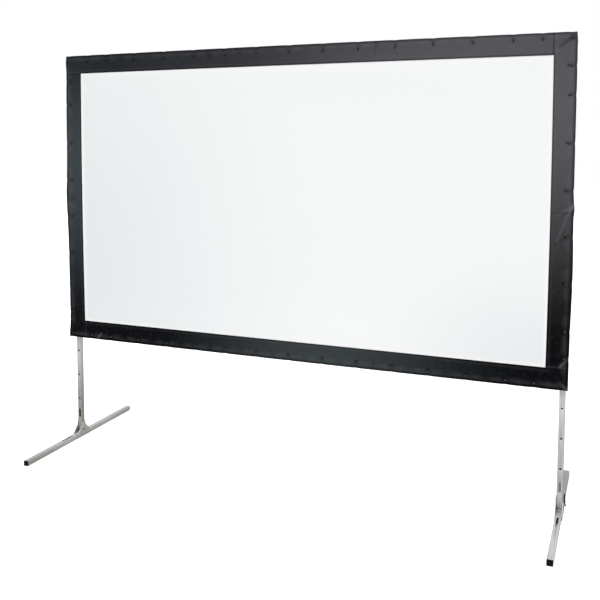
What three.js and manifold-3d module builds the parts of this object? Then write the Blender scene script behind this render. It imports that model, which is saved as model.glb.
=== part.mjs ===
// A portable projection screen on a folding square-tube frame, standing on two fold-away T legs.
// Millimetres, +Z up. The viewer stands at -Y. The origin is on the floor, midway between the legs,
// in the plane through the middle of both uprights.
import * as THREE from "three";
import { mergeVertices } from "three/addons/utils/BufferGeometryUtils.js";
import Module from "manifold-3d";

const wasm = await Module();
wasm.setup();

// Screen fabric: a white 16:9 viewing surface inside a black masking border
const viewWidth = 2922;
const viewHeight = (viewWidth * 9) / 16;
const borderWidth = 114;
const borderThickness = 1.6;
const surfaceThickness = 0.8;
const surfaceLap = 14;
const snapInset = 22;
const snapCapRadius = 6.5;
const snapCapHeight = 1.5;
const snapPitchRail = 210;
const snapsEachWayRail = 6;
const snapFirstSide = 119;
const snapPitchSide = 250;
const snapsEachWaySide = 3;

// Square aluminium tube, used for the frame and for the legs
const tubeSize = 31.75;
const tubeWall = 2;
const tubeCornerRadius = 2.5;
const seatGap = 0.3;

// Frame behind the fabric
const studRadius = 4;
const studHeight = 1.2;
const jointGap = 0.6;
const railJointFromMiddle = 523;

// Butt hinges at the frame's joints, pin along Y
const hingeWidth = 26;
const hingeLength = 54;
const hingePlate = 2.5;
const hingePinRadius = 2;
const hingeBarrelRadius = 4.2;
const hingeKnuckle = 9.4;
const hingePinClearance = 0.3;
const hingeWebGap = 0.4;

// Swing-hook latches on the inner faces of the side tubes, across the middle joints
const latchPivotBelow = 40;
const latchKeeperAbove = 30;
const latchPinRise = 8;
const latchPinRadius = 3;
const latchLeverWidth = 12;
const latchLeverThickness = 6;
const latchTail = 24;
const latchEar = 3;
const latchEarReach = 6;
const latchPivotRadius = 2.5;
const latchBossWall = 2;
const latchPlateMargin = 9;
const latchPlay = 0.4;

// Legs
const uprightFromEdge = 27;
const uprightTopMargin = 24;
const holeRadius = 6.2;
const holePitch = 167.5;
const firstHoleHeight = 265;
const holeCount = 7;
const uprightSlotLow = 136;
const uprightSlotHigh = 193;
const uprightSlotWidth = 12.5;
const footSlotWidth = 10;
const footLength = 1220;
const footCapFlange = 5;
const footCapPlug = 22;
const footSlotNear = 104;
const footSlotFar = 227;

// Fold pivot of each foot
const pivotAboveFoot = 17;
const pivotRadius = 4;
const pivotHeadRadius = 7.5;
const pivotHeadHeight = 4;
const uprightEndRadius = 16.6;
const pivotClearance = 0.3;

// Gusset plates on the foot, either side of the upright
const gussetThickness = 4;
const gussetTop = 105;
const gussetTopHalf = 20;
const gussetSkirt = 4;
const gussetShoulder = 24;
const gussetNeck = 84;
const gussetHalf = 78;

// Lock lever on the outer gusset
const leverPivotHeight = 76;
const leverPivotOut = 6.5;
const leverBehindMiddle = 8;
const leverAboveBolt = 1;
const leverTop = 121;
const leverTab = 5;
const leverWidth = 14;
const leverThickness = 4;
const leverCheek = 2;
const leverBarrelRadius = 3.6;
const leverPivotPinRadius = 1.8;
const leverEar = 3;
const lockPinHeight = 93;
const lockPinRadius = 3;
const lockHoleRadius = 6.8;
const detentRadius = 4;

// Clamps that hold the frame to the uprights
const clampLowAboveRail = 14.6;
const clampSpacing = 400.5;
const clampHeight = 44;
const clampBase = 8.7;
const clampCheek = 5;
const clampBack = 8;
const clampPlay = 0.4;
const highKnobRadius = 29;
const highKnobAngle = 30;
const lowKnobRadius = 19;
const lowKnobAngle = 0;
const knobLobe = 2.5;
const knobLobes = 6;
const knobThickness = 16;
const knobHubRadius = 12;
const knobHubLength = 5;
const knobStudRadius = 4;
const studClearance = 0.3;
const lowStudReach = 10;

// Sizes that follow from the ones above
const fabricWidth = viewWidth + 2 * borderWidth;
const fabricHeight = viewHeight + 2 * borderWidth;
const tubeHalf = tubeSize / 2;
const fabricOverhang = uprightFromEdge - tubeHalf;
const tubeFront = borderThickness + seatGap + studHeight;
const tubeBack = tubeFront + tubeSize;
const tubeMiddle = tubeFront + tubeHalf;
const lowerRailHeight = fabricOverhang + tubeHalf;
const upperRailHeight = fabricHeight - fabricOverhang - tubeHalf;
const sideX = fabricWidth / 2 - uprightFromEdge;
const hingePinRise = hingeBarrelRadius + seatGap;
const fabricFrontY = -(tubeHalf + clampPlay + clampBase + seatGap + tubeBack);
const clampLowHole = 3;
const clampLow = firstHoleHeight + clampLowHole * holePitch;
const clampHigh = clampLow + clampSpacing;
const screenLift = clampLow - clampLowAboveRail - tubeSize - fabricOverhang;
const uprightTop = firstHoleHeight + (holeCount - 1) * holePitch + uprightTopMargin;
const pivotHeight = tubeSize + pivotAboveFoot;
const leverBottom = pivotHeight + pivotHeadRadius + leverAboveBolt;

// Finishes
const anodised = new THREE.MeshStandardMaterial({ color: 0xc2c3be, roughness: 0.38, metalness: 0.85 });
const castAluminium = new THREE.MeshStandardMaterial({ color: 0xb4b5b0, roughness: 0.5, metalness: 0.8 });
const zincSteel = new THREE.MeshStandardMaterial({ color: 0x9a9b98, roughness: 0.35, metalness: 0.9 });
const blackSteel = new THREE.MeshStandardMaterial({ color: 0x1b1c1d, roughness: 0.5, metalness: 0.4 });
const blackPlastic = new THREE.MeshStandardMaterial({ color: 0x0d0e0f, roughness: 0.55, metalness: 0 });
const greyPlastic = new THREE.MeshStandardMaterial({ color: 0xa9aaa6, roughness: 0.55, metalness: 0 });
const borderFabric = new THREE.MeshStandardMaterial({ color: 0x2b2c2f, roughness: 0.8, metalness: 0 });
const whiteVinyl = new THREE.MeshStandardMaterial({ color: 0xeef0f2, roughness: 0.9, metalness: 0 });

// Solids and meshes

function toSolid(geometry) {
  const bare = geometry.clone();
  bare.deleteAttribute("normal");
  bare.deleteAttribute("uv");
  const merged = mergeVertices(bare, 1e-4);
  return new wasm.Manifold(
    new wasm.Mesh({
      numProp: 3,
      vertProperties: new Float32Array(merged.attributes.position.array),
      triVerts: new Uint32Array(merged.index.array),
    }),
  );
}

function toGeometry(solid) {
  const mesh = solid.getMesh();
  const position = new Float32Array(mesh.numVert * 3);
  for (let i = 0; i < mesh.numVert; i += 1) {
    for (let axis = 0; axis < 3; axis += 1) {
      position[i * 3 + axis] = mesh.vertProperties[i * mesh.numProp + axis];
    }
  }
  const geometry = new THREE.BufferGeometry();
  geometry.setAttribute("position", new THREE.BufferAttribute(position, 3));
  geometry.setIndex(new THREE.BufferAttribute(new Uint32Array(mesh.triVerts), 1));
  const flat = geometry.toNonIndexed();
  flat.computeVertexNormals();
  return flat;
}

function join(first, ...others) {
  return others.reduce((sum, other) => sum.add(other), first);
}

function cut(first, ...others) {
  return others.reduce((rest, other) => rest.subtract(other), first);
}

function ordered(a, b) {
  return a < b ? [a, b] : [b, a];
}

function piece(name, solid, material) {
  const mesh = new THREE.Mesh(toGeometry(solid), material);
  mesh.name = name;
  return mesh;
}

// A box between two values on each axis
function block([x0, x1], [y0, y1], [z0, z1]) {
  const geometry = new THREE.BoxGeometry(x1 - x0, y1 - y0, z1 - z0);
  geometry.translate((x0 + x1) / 2, (y0 + y1) / 2, (z0 + z1) / 2);
  return toSolid(geometry);
}

// A round bar along one axis, from one value to another on it, centred on the other two coordinates
function rod(axis, radius, [from, to], [a, b], sides = 10) {
  const geometry = new THREE.CylinderGeometry(radius, radius, to - from, sides);
  const middle = (from + to) / 2;
  if (axis === "x") {
    geometry.rotateZ(-Math.PI / 2);
    geometry.translate(middle, a, b);
  } else if (axis === "y") {
    geometry.translate(a, middle, b);
  } else {
    geometry.rotateX(Math.PI / 2);
    geometry.translate(a, b, middle);
  }
  return toSolid(geometry);
}

// An outline in the YZ plane, thickened along X
function plateYZ(shape, [x0, x1]) {
  const geometry = new THREE.ExtrudeGeometry(shape, { depth: x1 - x0, bevelEnabled: false });
  const turn = new THREE.Matrix4().makeBasis(
    new THREE.Vector3(0, 1, 0),
    new THREE.Vector3(0, 0, 1),
    new THREE.Vector3(1, 0, 0),
  );
  geometry.applyMatrix4(turn);
  geometry.translate(x0, 0, 0);
  return toSolid(geometry);
}

// An outline in the XZ plane, thickened along Y
function plateXZ(shape, [y0, y1]) {
  const geometry = new THREE.ExtrudeGeometry(shape, { depth: y1 - y0, bevelEnabled: false });
  const turn = new THREE.Matrix4().makeBasis(
    new THREE.Vector3(1, 0, 0),
    new THREE.Vector3(0, 0, 1),
    new THREE.Vector3(0, -1, 0),
  );
  geometry.applyMatrix4(turn);
  geometry.translate(0, y1, 0);
  return toSolid(geometry);
}

function outline(points) {
  return new THREE.Shape(points.map(([u, v]) => new THREE.Vector2(u, v)));
}

function roundedSquare(half, radius) {
  const flat = half - radius;
  const shape = new THREE.Shape();
  shape.moveTo(half, -flat);
  shape.lineTo(half, flat);
  shape.absarc(flat, flat, radius, 0, Math.PI / 2);
  shape.lineTo(-flat, half);
  shape.absarc(-flat, flat, radius, Math.PI / 2, Math.PI);
  shape.lineTo(-half, -flat);
  shape.absarc(-flat, -flat, radius, Math.PI, Math.PI * 1.5);
  shape.lineTo(flat, -half);
  shape.absarc(flat, -flat, radius, Math.PI * 1.5, Math.PI * 2);
  return shape;
}

// Square tube along one axis, between two values on it, centred on the other two axes
function squareTube(axis, [from, to]) {
  const section = roundedSquare(tubeHalf, tubeCornerRadius);
  const inside = tubeHalf - tubeWall;
  section.holes.push(outline([[inside, inside], [-inside, inside], [-inside, -inside], [inside, -inside]]));
  const depth = to - from;
  const geometry = new THREE.ExtrudeGeometry(section, { depth, bevelEnabled: false, curveSegments: 2 });
  geometry.translate(0, 0, from);
  if (axis === "x") {
    geometry.rotateY(Math.PI / 2);
  } else if (axis === "y") {
    geometry.rotateX(-Math.PI / 2);
  }
  return toSolid(geometry);
}

// Snap positions

function railSnaps() {
  const corner = fabricWidth / 2 - snapInset;
  const last = snapsEachWayRail * snapPitchRail;
  const oneWay = [];
  for (let i = 1; i <= snapsEachWayRail; i += 1) {
    oneWay.push(i * snapPitchRail);
  }
  oneWay.push((last + corner) / 2, corner);
  return [0, ...oneWay, ...oneWay.map((x) => -x)];
}

function sideSnaps() {
  const corner = fabricHeight / 2 - snapInset;
  const oneWay = [];
  for (let i = 0; i < snapsEachWaySide; i += 1) {
    oneWay.push(snapFirstSide + i * snapPitchSide);
  }
  const last = oneWay[oneWay.length - 1];
  oneWay.push((last + corner) / 2);
  return [...oneWay, ...oneWay.map((z) => -z)].map((z) => fabricHeight / 2 + z);
}

// Every snap as a point of the fabric, measured from the middle of its lower edge
function snapPoints() {
  const points = [];
  for (const x of railSnaps()) {
    points.push([x, snapInset], [x, fabricHeight - snapInset]);
  }
  for (const z of sideSnaps()) {
    points.push([-(fabricWidth / 2 - snapInset), z], [fabricWidth / 2 - snapInset, z]);
  }
  return points;
}

// Fabric

function maskingBorder() {
  const sheet = block([-fabricWidth / 2, fabricWidth / 2], [0, borderThickness], [0, fabricHeight]);
  const opening = block(
    [-viewWidth / 2, viewWidth / 2],
    [-1, borderThickness + 1],
    [borderWidth, borderWidth + viewHeight],
  );
  const caps = snapPoints().map(([x, z]) =>
    rod("y", snapCapRadius, [-snapCapHeight, borderThickness / 2], [x, z], 6),
  );
  return piece("masking_border", join(cut(sheet, opening), ...caps), borderFabric);
}

function projectionSurface() {
  const front = borderThickness + seatGap;
  const sheet = block(
    [-viewWidth / 2 - surfaceLap, viewWidth / 2 + surfaceLap],
    [front, front + surfaceThickness],
    [borderWidth - surfaceLap, borderWidth + viewHeight + surfaceLap],
  );
  return piece("projection_surface", sheet, whiteVinyl);
}

// Frame tubes. Each carries the snap studs that fall on it.

function studs(points) {
  return points.map(([x, z]) =>
    rod("y", studRadius, [tubeFront - studHeight, tubeFront + tubeWall / 2], [x, z], 6),
  );
}

// Half a butt hinge: pin at the origin along Y, plate towards +X, tube face below it towards -Z
function hingeHalf(holdsPin, sunk = 0) {
  const half = hingeWidth / 2;
  const middle = hingeKnuckle / 2;
  const start = hingeBarrelRadius + hingeWebGap;
  const under = -hingeBarrelRadius - sunk;
  const top = -hingeBarrelRadius + hingePlate;
  const plate = block([start, start + hingeLength], [-half, half], [under, top]);
  if (!holdsPin) {
    const web = block([0, start + 1], [-middle, middle], [-hingeBarrelRadius, top]);
    const barrel = rod("y", hingeBarrelRadius, [-middle, middle], [0, 0]);
    const bore = rod("y", hingePinRadius + hingePinClearance, [-half, half], [0, 0]);
    return cut(join(plate, web, barrel), bore);
  }
  const inner = middle + hingePinClearance;
  const parts = [rod("y", hingePinRadius, [-half, half], [0, 0])];
  for (const [from, to] of [[-half, -inner], [inner, half]]) {
    parts.push(rod("y", hingeBarrelRadius, [from, to], [0, 0]));
    parts.push(block([0, start + 1], [from, to], [-hingeBarrelRadius, top]));
  }
  return join(plate, ...parts);
}

// The height of the hinge pins on a rail's inner face
function railHingeHeight(isTop) {
  const rise = tubeHalf + hingePinRise;
  return isTop ? upperRailHeight - rise : lowerRailHeight + rise;
}

// Turns a hinge half so that its plate points the other way along the tube
function flipped(solid) {
  return solid.rotate([0, 0, 180]);
}

// The corner half-hinge that is fixed to a rail's inner face, pin just inside the side tube's inner face
function railCornerLeaf(side, isTop) {
  const pinX = side * (sideX - tubeHalf - hingePinRise);
  const pinZ = railHingeHeight(isTop);
  const half = hingeHalf(true, seatGap + tubeWall / 2);
  const plateAway = isTop ? side > 0 : side < 0;
  const placed = plateAway ? half : flipped(half);
  return placed.rotate([0, isTop ? 180 : 0, 0]).translate([pinX, tubeMiddle, pinZ]);
}

function railTube(level, isTop, index) {
  const height = isTop ? upperRailHeight : lowerRailHeight;
  const snapHeight = isTop ? fabricHeight - snapInset : snapInset;
  const end = fabricWidth / 2 - fabricOverhang;
  const stops = [-end, -railJointFromMiddle, railJointFromMiddle, end];
  const from = stops[index] + (index > 0 ? jointGap / 2 : 0);
  const to = stops[index + 1] - (index < 2 ? jointGap / 2 : 0);
  const tube = squareTube("x", [from, to]).translate([0, tubeMiddle, height]);
  const here = railSnaps().filter((x) => x > from && x < to).map((x) => [x, snapHeight]);
  const extras = studs(here);
  if (index !== 1) {
    extras.push(railCornerLeaf(index === 0 ? -1 : 1, isTop));
  }
  const place = ["left", "middle", "right"][index];
  return piece(`${level}_rail_tube_${place}`, join(tube, ...extras), anodised);
}

const sideName = (side) => (side < 0 ? "left" : "right");
const middleJointHeight = fabricHeight / 2;

// Keeper on the upper side tube: two ears and a pin that the latch hook drops over
function latchEars(side, height, pinRadius) {
  const face = side * (sideX - tubeHalf);
  const inwards = (depth) => face - side * depth;
  const earInner = latchLeverWidth / 2 + latchPlay;
  const across = ordered(inwards(latchPinRise + latchEarReach), inwards(-tubeWall / 2));
  const ears = [-1, 1].map((which) => {
    const span = ordered(which * earInner, which * (earInner + latchEar));
    return block(across, span.map((y) => y + tubeMiddle), [height - latchEarReach, height + latchEarReach]);
  });
  const reach = earInner + latchEar;
  const pin = rod("y", pinRadius, [tubeMiddle - reach, tubeMiddle + reach], [inwards(latchPinRise), height]);
  return join(...ears, pin);
}

function sideTube(side, isUpper) {
  const bottom = lowerRailHeight + tubeHalf + jointGap;
  const top = upperRailHeight - tubeHalf - jointGap;
  const from = isUpper ? middleJointHeight + jointGap / 2 : bottom;
  const to = isUpper ? top : middleJointHeight - jointGap / 2;
  const tube = squareTube("z", [from, to]).translate([side * sideX, tubeMiddle, 0]);
  const here = sideSnaps()
    .filter((z) => z > from && z < to)
    .map((z) => [side * (fabricWidth / 2 - snapInset), z]);
  const extras = studs(here);
  if (isUpper) {
    extras.push(latchEars(side, middleJointHeight + latchKeeperAbove, latchPinRadius));
  }
  const name = `${sideName(side)}_side_tube_${isUpper ? "upper" : "lower"}`;
  return piece(name, join(tube, ...extras), anodised);
}

// The two halves of a straight hinge, where its tubes meet end to end
function straightHinge(name, angle, [x, z]) {
  const group = new THREE.Group();
  group.position.set(x, tubeMiddle, z);
  group.rotation.y = angle;
  group.add(
    piece(`${name}_hinge_pin_half`, hingeHalf(true), zincSteel),
    piece(`${name}_hinge_middle_half`, flipped(hingeHalf(false)), zincSteel),
  );
  return group;
}

// The corner half-hinge that is fixed to a side tube's inner face
function sideCornerLeaf(side, isTop) {
  const group = new THREE.Group();
  group.position.set(
    side * (sideX - tubeHalf - hingePinRise),
    tubeMiddle,
    railHingeHeight(isTop),
  );
  group.rotation.y = (-side * Math.PI) / 2;
  const half = hingeHalf(false);
  const plateDown = isTop ? side > 0 : side < 0;
  const name = `${isTop ? "top" : "bottom"}_${sideName(side)}_corner_hinge_half`;
  group.add(piece(name, plateDown ? flipped(half) : half, zincSteel));
  return group;
}

function latchBase(side) {
  const face = side * (sideX - tubeHalf);
  const height = middleJointHeight - latchPivotBelow;
  const ears = latchEars(side, height, latchPivotRadius);
  const plateFar = face - side * (seatGap + hingePlate);
  const plateNear = face - side * seatGap;
  const across = ordered(plateFar, plateNear);
  const halfWidth = latchLeverWidth / 2 + latchPlay + latchEar;
  const plateReach = latchEarReach + latchPlateMargin;
  const plate = block(
    across,
    [tubeMiddle - halfWidth, tubeMiddle + halfWidth],
    [height - plateReach, height + plateReach],
  );
  const tube = block(
    ordered(plateNear, face + side * tubeWall),
    [tubeFront, tubeBack],
    [height - 2 * plateReach, height + 2 * plateReach],
  );
  return piece(`${sideName(side)}_latch_base`, cut(join(plate, ears), tube), zincSteel);
}

function latchHook(side) {
  const face = side * (sideX - tubeHalf);
  const inwards = (depth) => face - side * depth;
  const pivotZ = middleJointHeight - latchPivotBelow;
  const keeperZ = middleJointHeight + latchKeeperAbove;
  const near = latchPinRise - latchLeverThickness / 2;
  const far = latchPinRise + latchLeverThickness / 2 + latchBossWall;
  const across = ordered(inwards(near), inwards(far));
  const bar = block(
    across,
    [tubeMiddle - latchLeverWidth / 2, tubeMiddle + latchLeverWidth / 2],
    [pivotZ, keeperZ + latchTail],
  );
  const span = [tubeMiddle - latchLeverWidth / 2, tubeMiddle + latchLeverWidth / 2];
  const bossRadius = latchLeverThickness / 2 + latchBossWall;
  const boss = rod("y", bossRadius, span, [inwards(latchPinRise), pivotZ]);
  const wide = [tubeMiddle - tubeHalf, tubeMiddle + tubeHalf];
  const boreRadius = latchPivotRadius + hingePinClearance;
  const pivotBore = rod("y", boreRadius, wide, [inwards(latchPinRise), pivotZ]);
  const notchRadius = latchPinRadius + latchPlay;
  const notchRound = rod("y", notchRadius, wide, [inwards(latchPinRise), keeperZ]);
  const notchMouth = block(
    ordered(inwards(latchPinRise), inwards(0)),
    wide,
    [keeperZ - notchRadius, keeperZ + notchRadius],
  );
  const hook = cut(join(bar, boss), pivotBore, notchRound, notchMouth);
  return piece(`${sideName(side)}_latch_hook`, hook, blackSteel);
}

function frameAndFabric() {
  const group = new THREE.Group();
  group.position.set(0, fabricFrontY, screenLift);
  group.add(maskingBorder(), projectionSurface());
  for (const isTop of [false, true]) {
    const level = isTop ? "top" : "bottom";
    for (const index of [0, 1, 2]) {
      group.add(railTube(level, isTop, index));
    }
    const face = railHingeHeight(isTop);
    for (const side of [-1, 1]) {
      const spot = [side * railJointFromMiddle, face];
      group.add(straightHinge(`${level}_${sideName(side)}`, isTop ? Math.PI : 0, spot));
      group.add(sideCornerLeaf(side, isTop));
    }
  }
  for (const side of [-1, 1]) {
    group.add(sideTube(side, false), sideTube(side, true));
    const outside = [side * (sideX + tubeHalf + hingePinRise), middleJointHeight];
    group.add(straightHinge(`${sideName(side)}_side`, (side * Math.PI) / 2, outside));
    group.add(latchBase(side), latchHook(side));
  }
  return group;
}

// Legs. Every piece is modelled about the leg's own middle; "out" points away from the other leg.

// The slot's round-ended cut through a tube's wall, along Y or Z
function slotCut(axis, width, [from, to], [near, far]) {
  const half = width / 2;
  if (axis === "z") {
    const ends = [from + half, to - half].map((z) => rod("y", half, [near, far], [0, z], 8));
    return join(block([-half, half], [near, far], [from + half, to - half]), ...ends);
  }
  const ends = [from + half, to - half].map((y) => rod("z", half, [near, far], [0, y], 8));
  return join(block([-half, half], [from + half, to - half], [near, far]), ...ends);
}

function upright(name, side) {
  const plain = squareTube("z", [0, uprightTop]);
  const roundEnd = rod("x", uprightEndRadius, [-tubeHalf, tubeHalf], [0, pivotHeight], 32);
  const above = block([-tubeSize, tubeSize], [-tubeSize, tubeSize], [pivotHeight, uprightTop + 1]);
  const bores = [];
  for (let i = 0; i < holeCount; i += 1) {
    bores.push(rod("y", holeRadius, [-tubeSize, tubeSize], [0, firstHoleHeight + i * holePitch], 8));
  }
  const slot = slotCut("z", uprightSlotWidth, [uprightSlotLow, uprightSlotHigh], [-tubeSize, 0]);
  const pivotBore = rod("x", pivotRadius + pivotClearance, [-tubeSize, tubeSize], [0, pivotHeight]);
  const detent = rod("x", detentRadius, ordered(0, side * tubeSize), [leverBehindMiddle, lockPinHeight]);
  const ended = plain.intersect(join(roundEnd, above));
  return piece(name, cut(ended, ...bores, slot, pivotBore, detent), anodised);
}

// A tube plug that ends at a height, with its flange on top
function plug(to) {
  const flange = new THREE.ExtrudeGeometry(roundedSquare(tubeHalf, tubeCornerRadius), {
    depth: footCapFlange,
    bevelEnabled: false,
    curveSegments: 2,
  });
  flange.translate(0, 0, to - footCapFlange);
  const inside = tubeHalf - tubeWall - seatGap;
  const stem = block([-inside, inside], [-inside, inside], [to - footCapFlange - footCapPlug, to]);
  return join(toSolid(flange), stem);
}

function gussetShape() {
  return outline([
    [-gussetHalf, gussetSkirt],
    [gussetHalf, gussetSkirt],
    [gussetHalf, gussetShoulder],
    [gussetTopHalf, gussetNeck],
    [gussetTopHalf, gussetTop],
    [-gussetTopHalf, gussetTop],
    [-gussetTopHalf, gussetNeck],
    [-gussetHalf, gussetShoulder],
  ]);
}

// A span along Y between two values measured from the middle of the lock lever
function leverSpan(from, to) {
  return ordered(leverBehindMiddle + from, leverBehindMiddle + to);
}

function gusset(name, out, carriesLever) {
  const near = tubeHalf + seatGap;
  const far = near + gussetThickness;
  const span = out > 0 ? [near, far] : [-far, -near];
  const plate = plateYZ(gussetShape(), span);
  const bolt = rod("x", pivotRadius + pivotClearance, [-2 * tubeSize, 2 * tubeSize], [0, pivotHeight]);
  if (!carriesLever) {
    return piece(name, cut(plate, bolt), castAluminium);
  }
  const acrossPlate = [-2 * tubeSize, 2 * tubeSize];
  const pinHole = rod("x", lockHoleRadius, acrossPlate, [leverBehindMiddle, lockPinHeight]);
  const axisOut = far + leverPivotOut;
  const inner = leverWidth / 2 + seatGap;
  const ears = [-1, 1].map((which) => {
    const along = leverSpan(which * inner, which * (inner + leverEar));
    const ear = rod("y", leverBarrelRadius, along, [out * axisOut, leverPivotHeight]);
    const foot = block(
      ordered(out * (far - 1), out * axisOut),
      along,
      [leverPivotHeight - leverBarrelRadius, leverPivotHeight + leverBarrelRadius],
    );
    return join(ear, foot);
  });
  const reach = inner + leverEar;
  const pin = rod("y", leverPivotPinRadius, leverSpan(-reach, reach), [out * axisOut, leverPivotHeight]);
  return piece(name, join(cut(plate, bolt, pinHole), ...ears, pin), castAluminium);
}

// The lever is a channel above its pivot: a blade with a cheek on each side that reaches to the gusset
function lockLever(name, out) {
  const far = tubeHalf + seatGap + gussetThickness;
  const axisOut = far + leverPivotOut;
  const half = leverWidth / 2;
  const inside = axisOut - leverThickness / 2;
  const outside = axisOut + leverThickness / 2;
  const width = leverSpan(-half, half);
  const barrel = rod("y", leverBarrelRadius, width, [out * axisOut, leverPivotHeight]);
  const blade = block(ordered(out * inside, out * outside), width, [leverBottom, leverTop]);
  const cheekFoot = leverPivotHeight + leverBarrelRadius + seatGap;
  const cheeks = [-1, 1].map((which) =>
    block(
      ordered(out * (far + seatGap), out * axisOut),
      leverSpan(which * (half - leverCheek), which * half),
      [cheekFoot, leverTop],
    ),
  );
  const pinTip = tubeHalf + seatGap;
  const pinSpan = ordered(out * pinTip, out * axisOut);
  const pin = rod("x", lockPinRadius, pinSpan, [leverBehindMiddle, lockPinHeight]);
  const tab = block(
    ordered(out * inside, out * (outside + leverTab)),
    width,
    [leverBottom, leverBottom + leverTab],
  );
  const boreRadius = leverPivotPinRadius + pivotClearance;
  const boreSpan = leverSpan(-tubeHalf, tubeHalf);
  const bore = rod("y", boreRadius, boreSpan, [out * axisOut, leverPivotHeight]);
  return piece(name, cut(join(barrel, blade, ...cheeks, pin, tab), bore), blackSteel);
}

function pivotBolt(name) {
  const far = tubeHalf + seatGap + gussetThickness + seatGap;
  const shank = rod("x", pivotRadius, [-far - 1, far + 1], [0, pivotHeight]);
  const head = rod("x", pivotHeadRadius, [far, far + pivotHeadHeight], [0, pivotHeight]);
  const nut = rod("x", pivotHeadRadius, [-far - pivotHeadHeight, -far], [0, pivotHeight], 6);
  return piece(name, join(shank, head, nut), zincSteel);
}

function footBar(name) {
  const end = footLength / 2 - footCapFlange - seatGap;
  const tube = squareTube("y", [-end, end]).translate([0, 0, tubeHalf]);
  const slot = slotCut("y", footSlotWidth, [-footSlotFar, -footSlotNear], [tubeHalf, tubeSize + 1]);
  return piece(name, cut(tube, slot), anodised);
}

function footCap(name, end, material) {
  const cap = plug(footLength / 2)
    .rotate([end > 0 ? -90 : 90, 0, 0])
    .translate([0, 0, tubeHalf]);
  return piece(name, cap, material);
}

function uprightCap(name) {
  return piece(name, plug(uprightTop + seatGap + footCapFlange), blackPlastic);
}

function clampCollar(name, height) {
  const hole = tubeHalf + clampPlay;
  const outer = hole + clampCheek;
  const front = -hole - clampBase;
  const back = hole + clampBack;
  const body = block([-outer, outer], [front, back], [height - clampHeight / 2, height + clampHeight / 2]);
  const opening = block([-hole, hole], [-hole, hole], [height - clampHeight, height + clampHeight]);
  const thread = rod("y", knobStudRadius + studClearance, [0, back + 1], [0, height]);
  return piece(name, cut(body, opening, thread), blackSteel);
}

// A lobed hand knob, its stud through the collar's back wall
function clampKnob(name, height, tip, knobRadius, lobeAngle) {
  const collarBack = tubeHalf + clampPlay + clampBack;
  const start = collarBack + seatGap;
  const shape = new THREE.Shape();
  const steps = knobLobes * 4;
  for (let i = 0; i < steps; i += 1) {
    const turn = (i / steps) * 2 * Math.PI;
    const radius = knobRadius + knobLobe * Math.cos(knobLobes * (turn - THREE.MathUtils.degToRad(lobeAngle)));
    const point = [radius * Math.cos(turn), radius * Math.sin(turn)];
    if (i === 0) {
      shape.moveTo(...point);
    } else {
      shape.lineTo(...point);
    }
  }
  const grip = plateXZ(shape, [start + knobHubLength, start + knobHubLength + knobThickness]);
  const hub = rod("y", knobHubRadius, [start, start + knobHubLength + 1], [0, 0]);
  const stud = rod("y", knobStudRadius, [tip, start + 1], [0, 0]);
  return piece(name, join(grip, hub, stud).translate([0, 0, height]), blackPlastic);
}

function leg(side) {
  const group = new THREE.Group();
  group.position.x = side * sideX;
  const prefix = `${sideName(side)}_leg`;
  group.add(
    upright(`${prefix}_upright`, side),
    uprightCap(`${prefix}_upright_cap`),
    footBar(`${prefix}_foot_bar`),
    footCap(`${prefix}_foot_cap_front`, -1, blackPlastic),
    footCap(`${prefix}_foot_cap_rear`, 1, greyPlastic),
    gusset(`${prefix}_gusset_inner`, -side, false),
    gusset(`${prefix}_gusset_outer`, side, true),
    pivotBolt(`${prefix}_pivot_bolt`),
    lockLever(`${prefix}_lock_lever`, side),
    clampCollar(`${prefix}_clamp_lower`, clampLow),
    clampCollar(`${prefix}_clamp_upper`, clampHigh),
    clampKnob(`${prefix}_knob_lower`, clampLow, tubeHalf - lowStudReach, lowKnobRadius, lowKnobAngle),
    clampKnob(`${prefix}_knob_upper`, clampHigh, tubeHalf + seatGap, highKnobRadius, highKnobAngle),
  );
  return group;
}

const screen = new THREE.Group();
screen.name = "folding_projection_screen";
screen.add(frameAndFabric(), leg(-1), leg(1));

export default screen;
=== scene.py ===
# A portable projection screen on a folding square-tube frame, standing on two fold-away T legs.
# Sizes are written in millimetres and handed to Blender in metres. +Z is up, the viewer stands at -Y,
# and the origin is on the floor midway between the legs.
import math

import bmesh
import bpy
import numpy as np
from mathutils import Matrix, Vector


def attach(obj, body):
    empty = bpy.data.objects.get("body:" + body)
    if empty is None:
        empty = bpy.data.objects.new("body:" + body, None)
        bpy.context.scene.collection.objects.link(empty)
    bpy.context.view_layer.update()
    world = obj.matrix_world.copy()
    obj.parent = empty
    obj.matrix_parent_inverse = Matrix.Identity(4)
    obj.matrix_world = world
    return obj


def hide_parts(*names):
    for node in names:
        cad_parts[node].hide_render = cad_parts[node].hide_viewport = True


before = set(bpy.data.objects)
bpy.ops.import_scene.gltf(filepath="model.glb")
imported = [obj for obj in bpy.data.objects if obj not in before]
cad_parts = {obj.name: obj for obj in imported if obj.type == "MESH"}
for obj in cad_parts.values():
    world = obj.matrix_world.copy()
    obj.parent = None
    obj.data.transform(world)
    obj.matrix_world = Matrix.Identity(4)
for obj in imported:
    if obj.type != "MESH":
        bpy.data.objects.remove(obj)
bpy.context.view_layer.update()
scene = bpy.context.scene

MM = 0.001

# Fabric, as in the part's source
FABRIC_WIDTH = 3150
FABRIC_HEIGHT = 1871.625
FABRIC_LOW = 710.025
BORDER = 114
BORDER_THICK = 1.6
SURFACE_LAP = 14
SURFACE_THICK = 0.8
FABRIC_FRONT = -60.125
SURFACE_FRONT = -58.225
CLOTH_CELL = 5.7
SNAP_INSET = 22
SNAP_RADIUS = 6.5
SNAP_HEIGHT = 1.5
RAIL_SNAPS = [0, 210, 420, 630, 840, 1050, 1260, 1406.5, 1553]
SIDE_SNAPS = [119, 369, 619, 766.4]

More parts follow.
